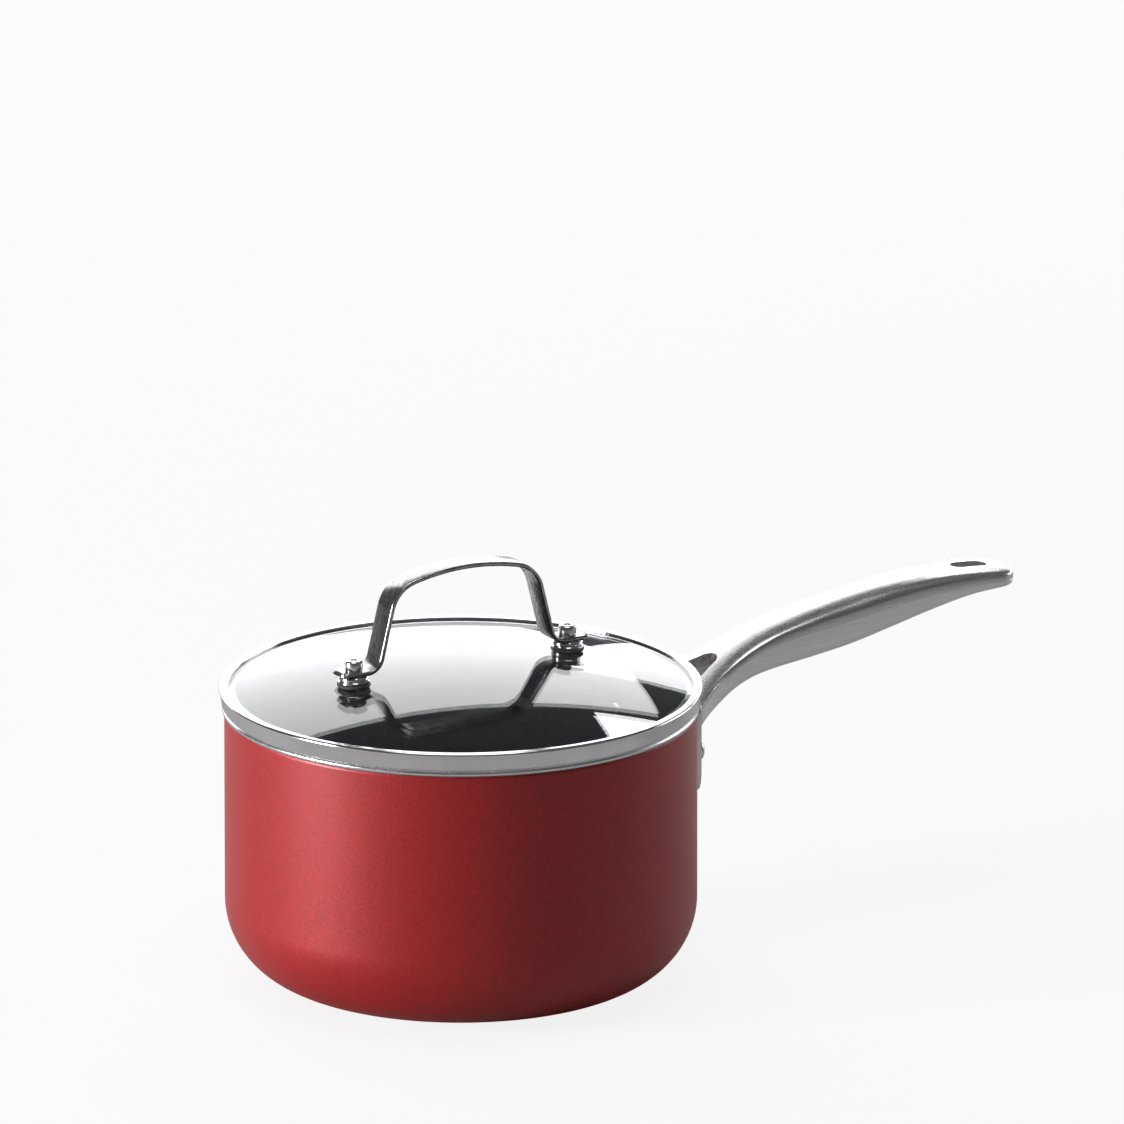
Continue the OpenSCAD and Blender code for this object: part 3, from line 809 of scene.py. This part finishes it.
# The strap's steel is coloured from near black to mid grey along its grain: painted dark
# reflections and streaks, darker than the steel itself is.
strap_steel_painted_dark_reflections = satin_steel("strap_steel_painted_dark_reflections", (420, 900, 420), 0.13, 0.24, (0.62, 0.61, 0.60),
                          (0.22, 0.22, 0.22), 0.00016)
strap = lofted("lid_handle_strap", strap_rings, [strap_steel_painted_dark_reflections], 50)
drilled(strap, [rod(2.2, 12, Matrix.Translation((side * screw_x * mm, 0,
                                                 (strap_foot - 3) * mm))) for side in (-1, 1)])
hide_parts("lid_handle")
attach(strap, "lid")


# ---- Lid fittings ----
# Each foot is held by a screw that comes up through a washer, a soft ring, the glass, another
# soft ring and a turned collar, into a round nut. Every kind is turned once and set as a pair.

def soft_rubber():
    """Pale silicone rubber with dust in its surface."""
    f = Finish("soft_ring_rubber")
    dust = f.noise(300, 5.0, 0.6)
    shade = f.mixed(f.between(dust, 0.45, 0.7), (0.055, 0.055, 0.058), (0.11, 0.11, 0.11))
    return f.surface(base_color=shade, roughness=f.between(dust, 0.3, 0.7, 0.5, 0.7),
                     normal=f.bump(dust, 0.2, 0.0001))


def heights(node):
    lo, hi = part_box(node)
    return lo.z / mm, hi.z / mm, (hi.y - lo.y) / 2 / mm


fitting_steel = polished_steel("fitting_steel", 0.08, 0.2)
ring_rubber = soft_rubber()
collar_lo, collar_hi, collar_r = heights("lid_collar_right")
nut_lo, nut_hi, nut_r = heights("lid_nut_right")
washer_lo, washer_hi, washer_r = heights("lid_washer_right")
_, upper_hi, upper_r = heights("lid_upper_ring_right")
lower_lo, _, lower_r = heights("lid_lower_ring_right")
screw_lo, screw_hi, screw_head_r = heights("lid_screw_right")
bore = 2.2
fittings = {
    "lid_collars": ("lid_collar", fitting_steel, [
        (bore, collar_lo), (collar_r - 0.3, collar_lo), (collar_r, collar_lo + 0.3),
        (collar_r, collar_lo + 1.0), (collar_r - 0.25, collar_lo + 1.25),
        (collar_r - 0.25, collar_lo + 1.5), (collar_r, collar_lo + 1.75),
        (collar_r, collar_hi - 0.9), (collar_r - 0.25, collar_hi - 0.45),
        (collar_r - 0.8, collar_hi), (bore, collar_hi)]),
    "lid_nuts": ("lid_nut", fitting_steel, [
        (2.05, nut_lo), (nut_r - 0.2, nut_lo), (nut_r, nut_lo + 0.2), (nut_r, nut_hi - 0.75),
        (nut_r - 0.12, nut_hi - 0.4), (nut_r - 0.45, nut_hi - 0.1), (nut_r - 0.9, nut_hi),
        (1.35, nut_hi), (1.2, nut_hi - 0.35), (0, nut_hi - 0.35), (0, nut_hi - 1.0),
        (2.05, nut_hi - 1.0)]),
    "lid_washers": ("lid_washer", fitting_steel, [
        (bore, washer_lo), (washer_r - 0.25, washer_lo), (washer_r, washer_lo + 0.25),
        (washer_r, washer_hi - 0.1), (washer_r - 0.1, washer_hi), (bore, washer_hi)]),
    "lid_upper_rings": ("lid_upper_ring", ring_rubber, [
        (bore, upper_hi - 0.95), (upper_r - 0.2, upper_hi - 0.98), (upper_r, upper_hi - 0.75),
        (upper_r, upper_hi - 0.25), (upper_r - 0.25, upper_hi), (bore, upper_hi)]),
    "lid_lower_rings": ("lid_lower_ring", ring_rubber, [
        (bore, lower_lo), (lower_r - 0.25, lower_lo), (lower_r, lower_lo + 0.2),
        (lower_r, lower_lo + 0.7), (lower_r - 0.2, lower_lo + 0.88), (bore, lower_lo + 0.9)]),
    "lid_screws": ("lid_screw", fitting_steel, [
        (0, screw_lo + 0.8), (0.9, screw_lo + 0.8), (1.2, screw_lo + 0.12),
        (screw_head_r * 0.55, screw_lo + 0.25), (screw_head_r * 0.8, screw_lo + 0.75),
        (screw_head_r * 0.95, screw_lo + 1.45), (screw_head_r, screw_lo + 2.0),
        (screw_head_r, washer_lo), (2.0, washer_lo), (2.0, screw_hi - 0.3),
        (1.7, screw_hi), (0, screw_hi)]),
}
for name, (node, material, outline) in fittings.items():
    on_axis = outline[0][0] == 0
    fitting = turned(name, outline, [], steps=72, closed=not on_axis or name == "lid_nuts")
    paired(fitting, 2 * screw_x * mm, math.pi, material)
    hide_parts(node + "_left", node + "_right")
    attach(fitting, "lid")


# ---- Table, backdrop and lamps ----
# A plain white table top a hair below the pan's foot, under a white sky. Soft lamps stand behind
# the pan, at its left and above it.

def table_top():
    """A matt white surface that keeps the pan's shadow."""
    f = Finish("white_table")
    tooth = f.noise(160, 4.0)
    speck = f.noise(3.0, 3.0)
    seen = f.node("ShaderNodeLightPath").get("Is Camera Ray")
    pale = f.mixed(f.between(speck, 0.3, 0.7), (0.50, 0.50, 0.50), (0.54, 0.54, 0.54))
    white = f.mixed(seen, pale, (0.92, 0.92, 0.92))
    matt = f.node("ShaderNodeBsdfDiffuse", None,
                  {"Color": white, "Normal": f.bump(tooth, 0.05, 0.0005)}).get("BSDF")
    glow = f.node("ShaderNodeEmission", None, {"Color": (1, 1, 1, 1), "Strength": 1.0}).get(0)
    both = f.node("ShaderNodeMixShader", None, {0: seen * 0.86, 1: matt, 2: glow}).get(0)
    f.tree.links.new(both.socket, f.out.inputs["Surface"])
    return f.material


table_gap = 0.0002
bm = bmesh.new()
bmesh.ops.create_grid(bm, x_segments=8, y_segments=8, size=20,
                      matrix=Matrix.Translation((0, 0, -table_gap)))
table = finished(bm, "table", [table_top()])

world = bpy.data.worlds.new("studio")
bpy.context.scene.world = world
world.use_nodes = True
world.node_tree.nodes.clear()
air = world.node_tree.nodes
path = air.new("ShaderNodeLightPath")
tone = air.new("ShaderNodeMix")
tone.data_type = "RGBA"
tone.inputs[6].default_value = (0.10, 0.10, 0.105, 1)
tone.inputs[7].default_value = (1, 1, 1, 1)
sky = air.new("ShaderNodeBackground")
end = air.new("ShaderNodeOutputWorld")
for source, target in ((path.outputs["Is Camera Ray"], tone.inputs[0]),
                       (tone.outputs[2], sky.inputs["Color"]),
                       (sky.outputs[0], end.inputs["Surface"])):
    world.node_tree.links.new(source, target)

eye_turn = -30.3
eye_height = 16.5


def lamp(name, turn, height, away, width, tall, glow, aim=(0, 0, 0.08), roll=0):
    """A square soft lamp: turn is its angle from the camera round the pan, glow its brightness."""
    a, e = math.radians(eye_turn + turn), math.radians(height)
    light = bpy.data.lights.new(name, "AREA")
    light.shape = "RECTANGLE"
    light.size, light.size_y = width, tall
    light.energy = glow * math.pi * width * tall
    holder = bpy.data.objects.new(name, light)
    bpy.context.scene.collection.objects.link(holder)
    back = Vector((math.sin(a) * math.cos(e), -math.cos(a) * math.cos(e), math.sin(e)))
    holder.location = Vector(aim) + back * away
    holder.rotation_mode = "QUATERNION"
    spin = Matrix.Rotation(math.radians(roll), 3, "Z").to_quaternion()
    holder.rotation_quaternion = back.to_track_quat("Z", "Y") @ spin
    holder.visible_camera = False
    return holder


lamp("left_softbox", -69, 7, 1.5, 0.42, 0.60, 34.0)
lamp("back_panel", -160, 14, 2.4, 2.2, 2.1, 2.2, roll=14)
lamp("back_low_panel", 158, 8, 2.4, 1.55, 0.86, 2.2)
lamp("back_window", 165.9, 34.7, 2.4, 0.24, 0.42, 6.0, roll=25)
lamp("right_panel", 122, 10, 2.2, 1.1, 0.9, 2.6)
lamp("top_softbox", 0, 82, 1.8, 1.1, 1.1, 2.6)


# ---- Camera ----
# A long lens looks down on the pan from its left, with the handle running away to the right.

eye = bpy.data.cameras.new("eye")
eye.sensor_width = 36
distance = 9
view_width = 0.39164
eye.lens = 36 * distance / view_width
eye.clip_end = 60
viewer = bpy.data.objects.new("eye", eye)
bpy.context.scene.collection.objects.link(viewer)
a, e = math.radians(eye_turn), math.radians(eye_height)
back = Vector((math.sin(a) * math.cos(e), -math.cos(a) * math.cos(e), math.sin(e)))
right = Vector((math.cos(a), math.sin(a), 0))
up = back.cross(right)
middle = Vector((0, 0, band_top * mm)) + right * 0.03526 + up * 0.0425
viewer.rotation_mode = "QUATERNION"
viewer.rotation_quaternion = Matrix((right, up, back)).transposed().to_quaternion()
viewer.location = middle + back * distance
bpy.context.scene.camera = viewer
bpy.context.scene.view_settings.view_transform = "Standard"
